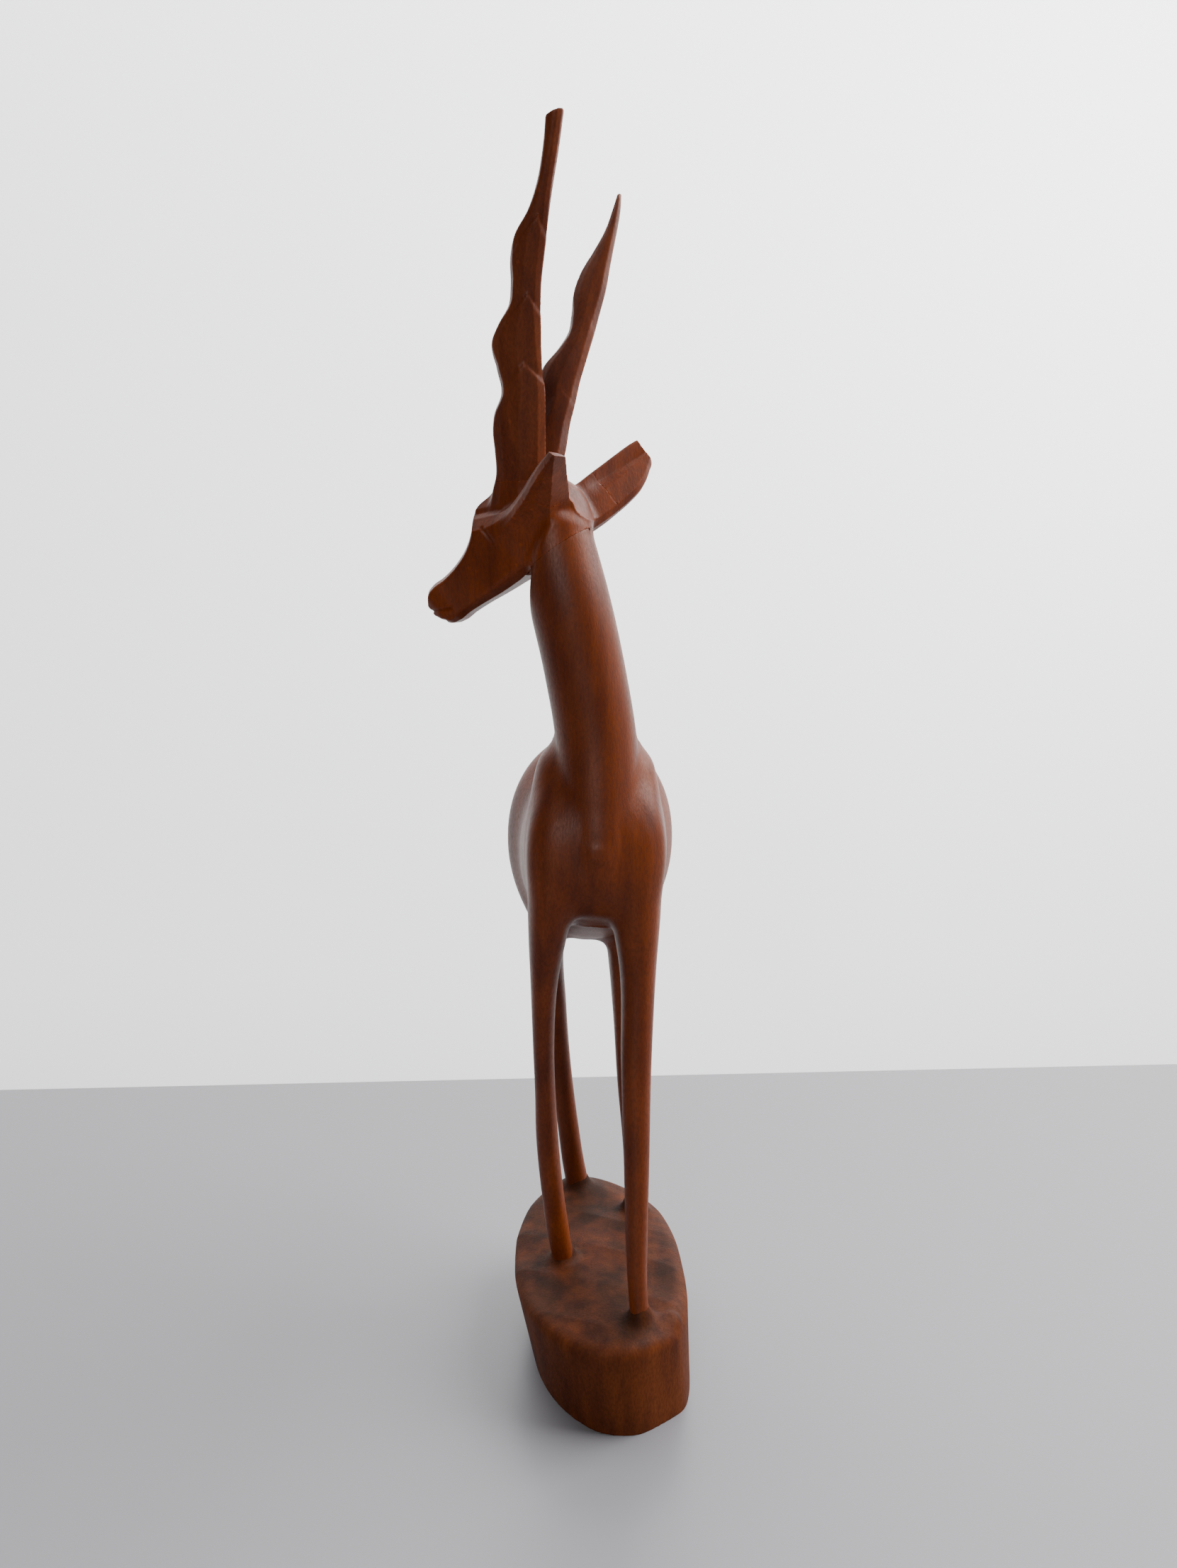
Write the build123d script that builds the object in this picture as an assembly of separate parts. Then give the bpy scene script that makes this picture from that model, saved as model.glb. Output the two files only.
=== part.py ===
"""Carved hardwood antelope on a domed oval plinth, about 390 mm tall, assembled with glue and wooden pegs.

Frame, in millimetres: the origin is the middle of the plinth's underside, +Z is up, the animal looks
towards -Y and its left side is +X.  Its head is turned to its right, so the head has a frame of its own.
"""
from build123d import *
from math import copysign, cos, pi, radians, sin
import os

# Driving dimensions
PLINTH_TOP = 35.0
PLINTH_HALF = (29.7, 54.4)
PLINTH_TOP_CENTRE = (-0.5, 0.0)
UNDERSIDE_HALF = (27.3, 50.8)
UNDERSIDE_CENTRE = (3.2, 0.0)
PLINTH_SQUARENESS = 2.4
PLINTH_RIM = 2.0

HEAD_TURN = 109.0
HEAD_ORIGIN = Vector(-13.0, -34.0, 0.0)
HORN_SEAT = 300.0
HORN_ROOT_SPREAD = 5.5
HORN_SPLAY = 0.29

PEG_PLAY = 0.05
NECK_PEG = (3.0, 30.0)
HORN_PEG = (1.5, 15.0)
EAR_PEG = (1.3, 10.0)
FOOT_PEG = (1.1, 16.0)
SECTION_POINTS = 12
CUTTER = 400.0

# Trunk sections: place along Y, middle X, belly Z, back Z, half width
TRUNK = [
    (-47, -3.5, 180, 194, 8.0),
    (-43, -3.5, 169, 205, 16.0),
    (-31, -3.3, 163, 214, 20.3),
    (-5, -2.5, 154, 211, 23.5),
    (20, -2.0, 146, 213, 27.6),
    (36, -1.6, 143, 217, 29.8),
    (48, -1.2, 152, 211, 21.5),
    (53, -1.0, 170, 197, 9.0),
]

# Neck sections: middle X, Y, Z, half width, half depth
NECK = [
    (-2.2, -27.0, 200, 15.5, 17.0),
    (-2.9, -30.0, 222, 12.8, 14.0),
    (-6.7, -32.5, 244, 12.4, 12.6),
    (-11.8, -35.0, 268, 11.4, 11.6),
    (-16.0, -37.0, 292, 9.9, 10.6),
]

# Leg sections from the trunk down: middle X, Y, Z, half width, half depth
LEGS = {
    "front_left": [
        (9.5, -29.0, 178, 7.0, 9.0),
        (10.2, -31.0, 152, 6.0, 7.5),
        (9.6, -33.6, 120, 4.9, 5.6),
        (9.5, -36.3, 85, 4.1, 4.6),
        (9.8, -38.2, 61, 3.5, 4.2),
        (11.1, -40.3, 35, 3.4, 4.2),
    ],
    "front_right": [
        (-15.5, -31.0, 178, 7.0, 9.0),
        (-18.9, -28.5, 152, 4.9, 7.0),
        (-19.9, -22.3, 121, 3.5, 5.4),
        (-18.9, -15.7, 88, 3.7, 4.8),
        (-16.5, -10.6, 61, 3.6, 4.3),
        (-12.7, -5.5, 35, 3.6, 4.2),
    ],
    "hind_left": [
        (10.5, 33.0, 172, 10.0, 15.0),
        (10.2, 34.0, 140, 6.2, 10.5),
        (11.8, 35.0, 112, 4.8, 7.0),
        (13.1, 34.0, 83, 4.4, 5.4),
        (14.6, 30.5, 60, 4.0, 4.6),
        (15.2, 28.5, 35, 3.9, 4.5),
    ],
    "hind_right": [
        (-14.5, 38.0, 172, 10.0, 14.0),
        (-16.7, 40.0, 138, 5.6, 9.5),
        (-15.0, 43.5, 112, 4.8, 6.6),
        (-12.5, 46.5, 83, 4.4, 5.2),
        (-9.6, 45.5, 60, 4.2, 4.6),
        (-5.6, 44.7, 35, 4.0, 4.5),
    ],
}

# The skull and muzzle lie along an axis that falls towards the nose, in the head's own (forward, up) plane
HEAD_AXIS_START = (2.0, 291.0)
HEAD_FALL = 37.8
# Head sections: distance along that axis, top, bottom, half width
HEAD = [
    (-9, 8.0, -2.0, 5.0),
    (-5, 14.0, -8.0, 8.5),
    (7, 18.9, -11.0, 10.2),
    (18, 16.0, -9.2, 9.4),
    (24, 11.8, -8.4, 8.2),
    (33, 7.6, -7.0, 6.8),
    (42, 7.2, -6.2, 6.2),
    (47.5, 4.9, -2.8, 4.4),
]

# Neck seat: a slanting cut from the jaw up to the nape
NECK_SEAT = (1.5, 279.5)
NECK_SEAT_TILT = 35.3

# Horn sections: height, front edge, back edge, thickness; the front edge is cut in three waves
LEFT_HORN = [
    (292, 18.6, 5.0, 6.6),
    (302, 18.4, 3.7, 6.8),
    (315, 17.2, 2.2, 6.6),
    (324, 13.7, 1.6, 6.4),
    (336, 14.8, 1.3, 6.2),
    (346, 9.4, 0.6, 5.8),
    (361, 5.8, -2.6, 5.0),
    (372, -1.0, -5.2, 4.4),
    (388, -5.9, -9.8, 3.6),
]
RIGHT_HORN = [
    (292, 18.6, 4.6, 6.6),
    (302, 18.2, 3.2, 6.8),
    (315, 16.6, 1.6, 6.6),
    (324, 12.6, -0.1, 6.4),
    (335, 11.2, -2.0, 6.0),
    (345, 4.4, -4.1, 5.6),
    (357, 3.2, -6.6, 4.8),
    (367, -0.8, -7.5, 4.0),
    (386, -7.8, -9.0, 1.8),
]

# Ears: root and tip as (forward, left, up), and the direction in which the blade is wide
LEFT_EAR = ((7.0, 6.0, 287.0), (-4.8, 25.0, 306.0), (0.9, 0.35, 0.0))
RIGHT_EAR = ((-2.5, -8.0, 294.0), (-18.3, -23.5, 309.2), (0.45, 0.0, 0.89))
# Ear sections: fraction of the length, half width, half thickness
EAR = [(-0.25, 5.4, 3.2), (0.25, 7.2, 2.9), (0.55, 7.6, 2.4), (0.8, 6.2, 1.9), (1.0, 3.2, 1.3)]
EAR_SEATS = {"left": 0.38, "right": 0.32}

EAST = Vector(1, 0, 0)
NORTH = Vector(0, 1, 0)
UP = Vector(0, 0, 1)
FORWARD = Vector(-sin(radians(HEAD_TURN)), -cos(radians(HEAD_TURN)), 0)
LEFTWARD = UP.cross(FORWARD)


def in_head(forward, left, up):
    """Point given along the head's own directions."""
    return HEAD_ORIGIN + FORWARD * forward + LEFTWARD * left + UP * up


def bulge(value, squareness):
    """Sine or cosine pushed out towards a rounded rectangle; a squareness of 2 leaves an ellipse."""
    return copysign(abs(value) ** (2 / squareness), value)


def section(middle, across, upward, half_width, half_height, squareness=2.0):
    """Smooth closed oval around a middle point."""
    points = []
    for step in range(SECTION_POINTS):
        angle = 2 * pi * step / SECTION_POINTS
        sideways = across * (half_width * bulge(cos(angle), squareness))
        points.append(middle + sideways + upward * (half_height * bulge(sin(angle), squareness)))
    return make_face(Spline(points, periodic=True))


def level_section(x, y, z, half_width, half_depth):
    """Horizontal oval for the legs and the neck."""
    return section(Vector(x, y, z), EAST, NORTH, half_width, half_depth)


def trunk_solid():
    """Chest, belly and rump as one rounded barrel."""
    faces = []
    for y, x, belly, back, half_width in TRUNK:
        half_height = (back - belly) / 2
        middle = Vector(x, y, belly + half_height)
        faces.append(section(middle, EAST, UP, half_width, half_height))
    return loft(faces)


def limb(sections):
    """Leg or neck, lofted through level sections."""
    return loft([level_section(*row) for row in sections])


def skull_solid():
    """Skull and muzzle, without horns and ears."""
    fall = radians(HEAD_FALL)
    along = FORWARD * cos(fall) - UP * sin(fall)
    upward = FORWARD * sin(fall) + UP * cos(fall)
    start = in_head(HEAD_AXIS_START[0], 0, HEAD_AXIS_START[1])
    faces = []
    for distance, top, bottom, half_width in HEAD:
        middle = start + along * distance + upward * ((top + bottom) / 2)
        half_height = (top - bottom) / 2
        faces.append(section(middle, LEFTWARD, upward, half_width, half_height))
    return loft(faces)


def horn_centre(height, front, back, side):
    """Middle of a horn at one height; the pair spreads apart as it rises."""
    spread = HORN_ROOT_SPREAD + HORN_SPLAY * (height - HORN_SEAT)
    return in_head((front + back) / 2, side * spread, height)


def horn_solid(sections, side):
    """Whole horn, starting inside the skull."""
    faces = []
    for height, front, back, thickness in sections:
        middle = horn_centre(height, front, back, side)
        faces.append(section(middle, FORWARD, LEFTWARD, (front - back) / 2, thickness / 2))
    return loft(faces, ruled=True)


def ear_solid(root, tip, wide):
    """Whole leaf-shaped ear, starting inside the skull, with the axis that it lies along."""
    start = in_head(*root)
    reach = in_head(*tip) - start
    along = reach.normalized()
    width = FORWARD * wide[0] + LEFTWARD * wide[1] + UP * wide[2]
    width = (width - along * width.dot(along)).normalized()
    thick = along.cross(width)
    faces = []
    for fraction, half_width, half_thickness in EAR:
        middle = start + reach * fraction
        faces.append(section(middle, width, thick, half_width, half_thickness))
    return loft(faces, ruled=True), start, along, reach.length


def plinth_solid():
    """Domed oval block, leaning a little to its left towards the underside."""
    lower = section(Vector(*UNDERSIDE_CENTRE, 0), EAST, NORTH, *UNDERSIDE_HALF, PLINTH_SQUARENESS)
    upper = section(Vector(*PLINTH_TOP_CENTRE, PLINTH_TOP), EAST, NORTH, *PLINTH_HALF)
    block = loft([lower, upper])
    rim = block.edges().sort_by(Axis.Z)[-1]
    return chamfer(rim, PLINTH_RIM)


def half_space(point, normal):
    """Large block on the side of a plane that its normal points to."""
    plane = Plane(origin=point, z_dir=normal)
    return plane * Box(CUTTER, CUTTER, CUTTER, align=(Align.CENTER, Align.CENTER, Align.MIN))


def peg_and_bore(point, along, size):
    """Round peg centred on a seat, and the slightly larger bore that takes it."""
    radius, length = size
    plane = Plane(origin=point, z_dir=along)
    peg = plane * Cylinder(radius, length)
    bore = plane * Cylinder(radius + PEG_PLAY, length + 2 * PEG_PLAY)
    return peg, bore


def one_solid(shape):
    """Largest solid of a result, which drops slivers thinner than a shaving."""
    return shape.solids().sort_by(SortBy.VOLUME)[-1]


# Seats: each joint is a flat glued face at a point, square to a direction
tilt = radians(NECK_SEAT_TILT)
neck_point = in_head(NECK_SEAT[0], 0, NECK_SEAT[1])
neck_normal = FORWARD * sin(tilt) + UP * cos(tilt)
neck_along = (Vector(*NECK[-1][:3]) - Vector(*NECK[-3][:3])).normalized()
neck = limb(NECK)

horns = {"left": horn_solid(LEFT_HORN, 1), "right": horn_solid(RIGHT_HORN, -1)}
horn_points = {
    "left": horn_centre(HORN_SEAT, 18.5, 4.0, 1),
    "right": horn_centre(HORN_SEAT, 18.3, 3.3, -1),
}
ears = {"left": ear_solid(*LEFT_EAR), "right": ear_solid(*RIGHT_EAR)}

above_neck_seat = half_space(neck_point, neck_normal)
above_horn_seat = half_space(in_head(0, 0, HORN_SEAT), UP)

# Head: skull, the top of the neck and the stubs of the horns and ears, up to their seats
head = skull_solid() + (neck & above_neck_seat)
for horn in horns.values():
    head = head + horn
head = (head & above_neck_seat) - above_horn_seat
parts = {}
for side, (ear, start, along, length) in ears.items():
    seat = start + along * (length * EAR_SEATS[side])
    outside = half_space(seat, along)
    head = head + (ear - outside)
    blade = ear & outside
    peg, bore = peg_and_bore(seat, along, EAR_PEG)
    parts[f"{side}_ear"] = one_solid(blade - bore)
    parts[f"{side}_ear_peg"] = peg
    head = head - bore
for side, horn in horns.items():
    lean = HORN_SPLAY if side == "left" else -HORN_SPLAY
    peg, bore = peg_and_bore(horn_points[side], (UP + LEFTWARD * lean).normalized(), HORN_PEG)
    parts[f"{side}_horn"] = one_solid((horn & above_horn_seat) - bore)
    parts[f"{side}_horn_peg"] = peg
    head = head - bore
neck_peg, neck_bore = peg_and_bore(neck_point, neck_along, NECK_PEG)
parts["neck_dowel"] = neck_peg
parts["head"] = one_solid(head - neck_bore)

# Body: trunk, neck and legs are one carving, standing on the plinth's flat top
above_plinth = half_space(Vector(0, 0, PLINTH_TOP), UP)
body = trunk_solid() + (neck - above_neck_seat)
plinth = plinth_solid()
for name, sections in LEGS.items():
    body = body + limb(sections)
body = body - neck_bore
for name, sections in LEGS.items():
    peg, bore = peg_and_bore(Vector(*sections[-1][:3]), UP, FOOT_PEG)
    parts[f"{name}_foot_peg"] = peg
    body = body - bore
    plinth = plinth - bore
parts["body"] = one_solid(body & above_plinth)
parts["plinth"] = one_solid(plinth)

os.makedirs("parts", exist_ok=True)
for name, solid in parts.items():
    export_step(solid, f"parts/{name}.step")
    print(name, round(solid.volume, 1), "mm3")
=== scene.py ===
import bpy
import numpy as np
from math import cos, radians, sin, tan
from mathutils import Matrix, Vector


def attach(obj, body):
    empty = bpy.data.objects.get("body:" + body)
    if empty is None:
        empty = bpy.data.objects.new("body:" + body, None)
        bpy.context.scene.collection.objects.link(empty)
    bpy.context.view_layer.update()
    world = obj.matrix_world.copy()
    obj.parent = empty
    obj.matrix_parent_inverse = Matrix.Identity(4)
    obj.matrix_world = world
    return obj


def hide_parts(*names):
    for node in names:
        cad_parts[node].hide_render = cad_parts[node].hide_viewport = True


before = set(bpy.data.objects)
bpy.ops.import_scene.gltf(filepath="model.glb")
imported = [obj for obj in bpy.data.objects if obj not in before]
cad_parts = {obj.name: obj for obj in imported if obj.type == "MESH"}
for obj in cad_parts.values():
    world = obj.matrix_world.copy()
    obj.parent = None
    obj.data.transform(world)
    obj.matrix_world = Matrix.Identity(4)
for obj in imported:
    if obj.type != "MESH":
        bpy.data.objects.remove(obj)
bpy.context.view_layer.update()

# Carved antelope: knife-cut head, horns and ears on a sanded body, standing on a rough oval plinth.
#
# Each piece is carved as a field: a function that is negative inside the wood and positive outside it.
# Fields are written in millimetres in the part's own frame, with +X to the animal's left and -Y in front,
# and are cut at the flat glued seats between pieces. Only the finished meshes are in metres.

MM = 0.001
UPWARD = np.array([0.0, 0.0, 1.0])

# ---------------------------------------------------------------- places shared by several pieces, in mm

PLINTH_TOP = 35.0
FOOT_SINK = 0.6

# The head is turned to its right about an upright line through the neck's top
HEAD_TURN = radians(109.0)
HEAD_ORIGIN = np.array([-13.0, -34.0, 0.0])
FORWARD = np.array([-sin(HEAD_TURN), -cos(HEAD_TURN), 0.0])
LEFTWARD = np.cross(UPWARD, FORWARD)

# Places in the head are forward and up in its own coordinates
HEAD_FALL = radians(37.8)
HEAD_AXIS_START = (2.0, 291.0)
HORN_SEAT = 300.0
HORN_SPREAD = 5.5
HORN_SPLAY = 0.29
NECK_SEAT = (1.5, 279.5)
NECK_SEAT_TILT = radians(35.3)


def in_head(points):
    """Forward, leftward and upward coordinates of points, as the turned head sees them."""
    away = points - HEAD_ORIGIN
    return away @ FORWARD, away @ LEFTWARD, points[:, 2]


def head_point(forward, left, up):
    """Point in the part's frame from the head's own coordinates."""
    return HEAD_ORIGIN + FORWARD * forward + LEFTWARD * left + UPWARD * up


def head_direction(forward, left, up):
    """Unit direction in the part's frame from the head's own coordinates."""
    way = FORWARD * forward + LEFTWARD * left + UPWARD * up
    return way / np.linalg.norm(way)


# ---------------------------------------------------------------- carving tools

def join(first, second, fillet):
    """Two forms grown into one, with a fillet where they meet."""
    share = np.clip(0.5 + 0.5 * (second - first) / fillet, 0.0, 1.0)
    return second * (1 - share) + first * share - fillet * share * (1 - share)


def keep_both(first, second, rounding):
    """The wood that two forms share, with a rounded edge between them."""
    return -join(-first, -second, rounding)


def flat_cut(points, through, facing):
    """Field of everything behind a plane."""
    return (points - through) @ facing


def smooth_table(rows, samples=240):
    """Listed rows of (place, values...), filled in with smooth slopes."""
    rows = np.array(rows, float)
    places = rows[:, 0]
    slopes = np.gradient(rows[:, 1:], places, axis=0)
    fine = np.linspace(places[0], places[-1], samples)
    row = np.clip(np.searchsorted(places, fine, side="right") - 1, 0, len(places) - 2)
    width = (places[row + 1] - places[row])[:, None]
    part = (fine - places[row])[:, None] / width
    start, end = rows[row, 1:], rows[row + 1, 1:]
    blend = part * part * (3 - 2 * part)
    values = start + (end - start) * blend
    leaving, arriving = slopes[row], slopes[row + 1]
    values += width * (part * (1 - part) ** 2 * leaving - part * part * (1 - part) * arriving)
    return np.column_stack([fine, values])


def read(table, places):
    """Every column of a table at the given places."""
    return [np.interp(places, table[:, 0], table[:, column]) for column in range(1, table.shape[1])]


def oval(across, along, half_across, half_along, squareness=2.0):
    """Field of an oval section; a squareness above 2 pushes it towards a rounded rectangle."""
    wide, deep = np.abs(across) / half_across, np.abs(along) / half_along
    reach = (wide ** squareness + deep ** squareness) ** (1 / squareness) + 1e-6
    slope = np.sqrt((wide / half_across) ** 2 + (deep / half_along) ** 2) + 1e-6
    return reach * (reach - 1) / slope


def egg(points, centre, radii):
    """Field of an ellipsoid."""
    away = (points - centre) / radii
    reach = np.linalg.norm(away, axis=1) + 1e-6
    slope = np.linalg.norm(away / radii, axis=1) + 1e-6
    return reach * (reach - 1) / slope


def groove(field, distance, half_width, depth):
    """Shallow V-cut of a knife along a line."""
    return field + depth * np.clip(1 - distance / half_width, 0.0, 1.0)


def distance_to_run(across, along, start, end):
    """Distance in one plane from a straight run between two points."""
    start, end = np.array(start), np.array(end)
    way = end - start
    share = ((across - start[0]) * way[0] + (along - start[1]) * way[1]) / (way @ way)
    share = np.clip(share, 0.0, 1.0)
    return np.hypot(across - start[0] - share * way[0], along - start[1] - share * way[1])


# ---------------------------------------------------------------- turning a field into a closed mesh

CELL_CORNERS = [(i, j, k) for i in (0, 1) for j in (0, 1) for k in (0, 1)]
BLOCK = 8               # grid points along each side of a block
BLOCKS_AT_ONCE = 400
FIELD_SLACK = 1.6       # a block this many widths from the surface is left coarse
SLOPE_REACH = 0.12      # of a grid step, either side of a point where a slope is measured
CORNER_PULL = 0.02      # how firmly a corner is held to the middle of its cell
CORNER_OVERHANG = 0.1   # of a grid step, how far a corner may leave its cell
SKIN = 0.02             # of a grid step, how thinly a filled grid point is covered


def sample_field(field, low, shape, step):
    """Field values on a grid, worked out only in blocks that the surface may pass through."""
    blocks = [-(-count // BLOCK) for count in shape]
    index = np.stack(np.meshgrid(*[np.arange(b) for b in blocks], indexing="ij"), -1).reshape(-1, 3)
    centres = low + (index + 0.5) * (BLOCK * step)
    middle = field(centres)
    near = np.abs(middle) < FIELD_SLACK * BLOCK * step
    padded = np.empty([b * BLOCK for b in blocks], np.float32)
    blocked = padded.reshape(blocks[0], BLOCK, blocks[1], BLOCK, blocks[2], BLOCK)
    blocked = blocked.transpose(0, 2, 4, 1, 3, 5)
    blocked[...] = middle.reshape(*blocks, 1, 1, 1)
    inner = np.stack(np.meshgrid(*[np.arange(BLOCK)] * 3, indexing="ij"), -1).reshape(-1, 3)
    chosen = index[near]
    for start in range(0, len(chosen), BLOCKS_AT_ONCE):
        group = chosen[start:start + BLOCKS_AT_ONCE]
        points = low + (group[:, None, :] * BLOCK + inner[None]) * step
        values = field(points.reshape(-1, 3)).reshape(len(group), BLOCK, BLOCK, BLOCK)
        blocked[group[:, 0], group[:, 1], group[:, 2]] = values
    return padded[:shape[0], :shape[1], :shape[2]]


def field_slope(field, points, reach):
    """Unit slope of a field at the given points."""
    slope = np.empty_like(points)
    for axis in range(3):
        shift = np.zeros(3)
        shift[axis] = reach
        slope[:, axis] = field(points + shift) - field(points - shift)
    return slope / (np.linalg.norm(slope, axis=1, keepdims=True) + 1e-12)


def fill_diagonals(values, step):
    """Fills grid points until no wood touches only across a diagonal, so that the mesh is closed."""
    sides = (slice(0, -1), slice(1, None))
    skin = np.float32(-SKIN * step)
    for _ in range(12):
        filled = 0
        for axis in range(3):
            first, second = (axis + 1) % 3, (axis + 2) % 3
            corners = {}
            for i in (0, 1):
                for j in (0, 1):
                    part = [slice(None)] * 3
                    part[first], part[second] = sides[i], sides[j]
                    corners[i, j] = values[tuple(part)]
            for i in (0, 1):
                diagonal = (corners[0, i] < 0) & (corners[1, 1 - i] < 0)
                bare = diagonal & (corners[1, i] >= 0) & (corners[0, 1 - i] >= 0)
                filled += int(bare.sum())
                corners[1, i][bare] = skin
        if not filled:
            return


def largest_part(vertices, quads):
    """The largest part of a mesh that hangs together by its edges, without crumbs from the seats."""
    ends = np.sort(np.stack([quads, np.roll(quads, -1, axis=1)], axis=-1), axis=-1)
    edge = np.unique(ends[..., 0] * len(vertices) + ends[..., 1], return_inverse=True)[1]
    edge = edge.reshape(quads.shape)
    label = np.arange(edge.max() + 1)
    while True:
        lowest = label[edge].min(axis=1)
        merged = label.copy()
        for column in range(4):
            np.minimum.at(merged, edge[:, column], lowest)
        merged = merged[merged]
        if (merged == label).all():
            break
        label = merged
    part = label[edge[:, 0]]
    used, quads = np.unique(quads[part == np.bincount(part).argmax()], return_inverse=True)
    return vertices[used], quads.reshape(-1, 4)


def carve(field, low, high, step):
    """Closed quad mesh of a field's surface that keeps crisp edges where cuts meet."""
    low, high = np.array(low, float), np.array(high, float)
    shape = np.ceil((high - low) / step).astype(int) + 1
    values = sample_field(field, low, shape, step)
    fill_diagonals(values, step)
    inside = values < 0
    cells = shape - 1
    filled = sum(inside[i:cells[0] + i, j:cells[1] + j, k:cells[2] + k].astype(np.int8)
                 for i, j, k in CELL_CORNERS)
    active = (filled > 0) & (filled < 8)
    number = np.full(active.shape, -1, np.int64)
    number[active] = np.arange(active.sum())
    count = int(active.sum())
    normal_sum, plane_sum = np.zeros((count, 9)), np.zeros((count, 3))
    place_sum, hits, quads = np.zeros((count, 3)), np.zeros(count), []
    for axis in range(3):
        left = [slice(None)] * 3
        right = [slice(None)] * 3
        left[axis], right[axis] = slice(0, -1), slice(1, None)
        crossing = np.argwhere(inside[tuple(left)] != inside[tuple(right)])
        ahead = np.zeros(3, int)
        ahead[axis] = 1
        near, far = values[tuple(crossing.T)], values[tuple((crossing + ahead).T)]
        share = near / (near - far)
        points = low + (crossing + share[:, None] * ahead) * step
        slopes = field_slope(field, points, SLOPE_REACH * step)
        second, third = (axis + 1) % 3, (axis + 2) % 3
        ring = []
        for shift_second, shift_third in ((-1, -1), (0, -1), (0, 0), (-1, 0)):
            cell = crossing.copy()
            cell[:, second] += shift_second
            cell[:, third] += shift_third
            ring.append(number[tuple(cell.T)])
        for cell in ring:
            outer = (slopes[:, :, None] * slopes[:, None, :]).reshape(-1, 9)
            flat = slopes * np.sum(slopes * points, axis=1, keepdims=True)
            for column in range(9):
                normal_sum[:, column] += np.bincount(cell, outer[:, column], count)
            for column in range(3):
                plane_sum[:, column] += np.bincount(cell, flat[:, column], count)
                place_sum[:, column] += np.bincount(cell, points[:, column], count)
            hits += np.bincount(cell, minlength=count)
        quad = np.column_stack(ring)
        quads.append(np.where((near < 0)[:, None], quad, quad[:, ::-1]))
    middle = place_sum / hits[:, None]
    pull = CORNER_PULL * hits[:, None, None] * np.eye(3)
    matrix = normal_sum.reshape(-1, 3, 3)
    target = plane_sum - np.einsum("nij,nj->ni", matrix, middle)
    vertices = middle + np.linalg.solve(matrix + pull, target[:, :, None])[:, :, 0]
    corner = low + np.argwhere(active) * step
    overhang = CORNER_OVERHANG * step
    vertices = np.clip(vertices, corner - overhang, corner + step + overhang)
    return largest_part(vertices, np.vstack(quads))


SHARP_ABOVE = radians(48.0)     # knife edges steeper than this stay crisp


def make_piece(name, field, low, high, step):
    """Smooth-shaded object of a carved field, sharp only at seats and steep knife edges."""
    vertices, quads = carve(field, low, high, step)
    mesh = bpy.data.meshes.new(name)
    mesh.vertices.add(len(vertices))
    mesh.vertices.foreach_set("co", (vertices * MM).astype(np.float32).ravel())
    mesh.loops.add(quads.size)
    mesh.loops.foreach_set("vertex_index", quads.astype(np.int32).ravel())
    mesh.polygons.add(len(quads))
    mesh.polygons.foreach_set("loop_start", np.arange(0, quads.size, 4, dtype=np.int32))
    mesh.polygons.foreach_set("use_smooth", np.ones(len(quads), bool))
    mesh.update(calc_edges=True)
    mesh.validate()
    mesh.set_sharp_from_angle(angle=SHARP_ABOVE)
    piece = bpy.data.objects.new(name, mesh)
    bpy.context.scene.collection.objects.link(piece)
    return piece


# ---------------------------------------------------------------- body: trunk, neck and legs

# Trunk: place along Y, middle X, belly Z, back Z, half width
TRUNK = smooth_table([
    (-44.6, -3.5, 190.6, 191.4, 0.6),
    (-44.0, -3.5, 184.5, 197.5, 7.5),
    (-42.6, -3.5, 178.5, 203, 13.0),
    (-40.5, -3.5, 174, 207.3, 16.7),
    (-31, -3.3, 167, 213, 20.2),
    (-5, -2.5, 154, 211, 24.4),
    (16, -2.0, 146, 212, 25.6),
    (36, -1.6, 142, 217, 29.6),
    (48, -1.2, 151, 212, 22.5),
    (52, -1.0, 161, 204, 14.0),
    (54, -1.0, 172, 194, 6.0),
])

# Neck, from its base up: Z, middle X and Y, half width and half depth
NECK = smooth_table([
    (164, -3.2, -24.0, 3.0, 4.0),
    (176, -3.0, -30.0, 8.5, 11.8),
    (190, -2.6, -31.0, 12.2, 15.0),
    (206, -2.6, -30.0, 12.9, 15.2),
    (224, -3.3, -30.8, 12.5, 13.4),
    (244, -6.6, -32.5, 12.4, 12.6),
    (268, -11.9, -35.0, 12.2, 11.8),
    (282, -14.9, -35.8, 11.2, 10.2),
    (294, -17.2, -36.2, 9.8, 9.0),
])

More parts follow.
